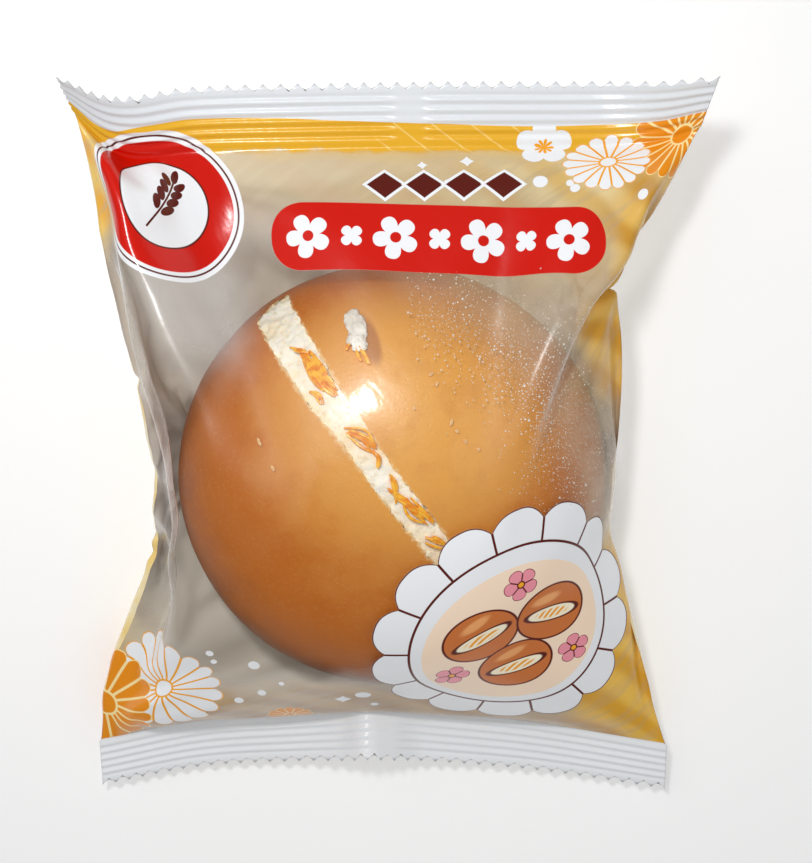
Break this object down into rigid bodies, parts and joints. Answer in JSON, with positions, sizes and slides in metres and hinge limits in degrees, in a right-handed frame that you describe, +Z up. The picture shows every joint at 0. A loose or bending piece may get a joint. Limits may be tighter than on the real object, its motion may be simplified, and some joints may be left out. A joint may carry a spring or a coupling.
{
  "type": "golden thread cream bun in a sealed pack",
  "caption": "Round glazed cream bun with a slit of cream and golden egg threads, sealed in a slack pillow pack of clear printed film with crimped, saw-toothed end seals.",
  "frame": {"origin": "middle of the pack's box at the height of the surface it lies on", "axes": "+Z up out of the front of the pack, +Y along the pack from its bottom seal to its top seal, +X to the right of the front"},
  "size_m": [0.1446, 0.1744, 0.0495],
  "materials": {
    "film": "thin clear film, glossy, printed in yellow, orange, white and red",
    "crust": "baked golden brown crust with a soft egg-wash shine",
    "cream": "soft matte butter cream",
    "threads": "moist, syrupy golden egg threads"
  },
  "bodies": {
    "root": {"sealed_pack": "film"}
  },
  "joints": []
}
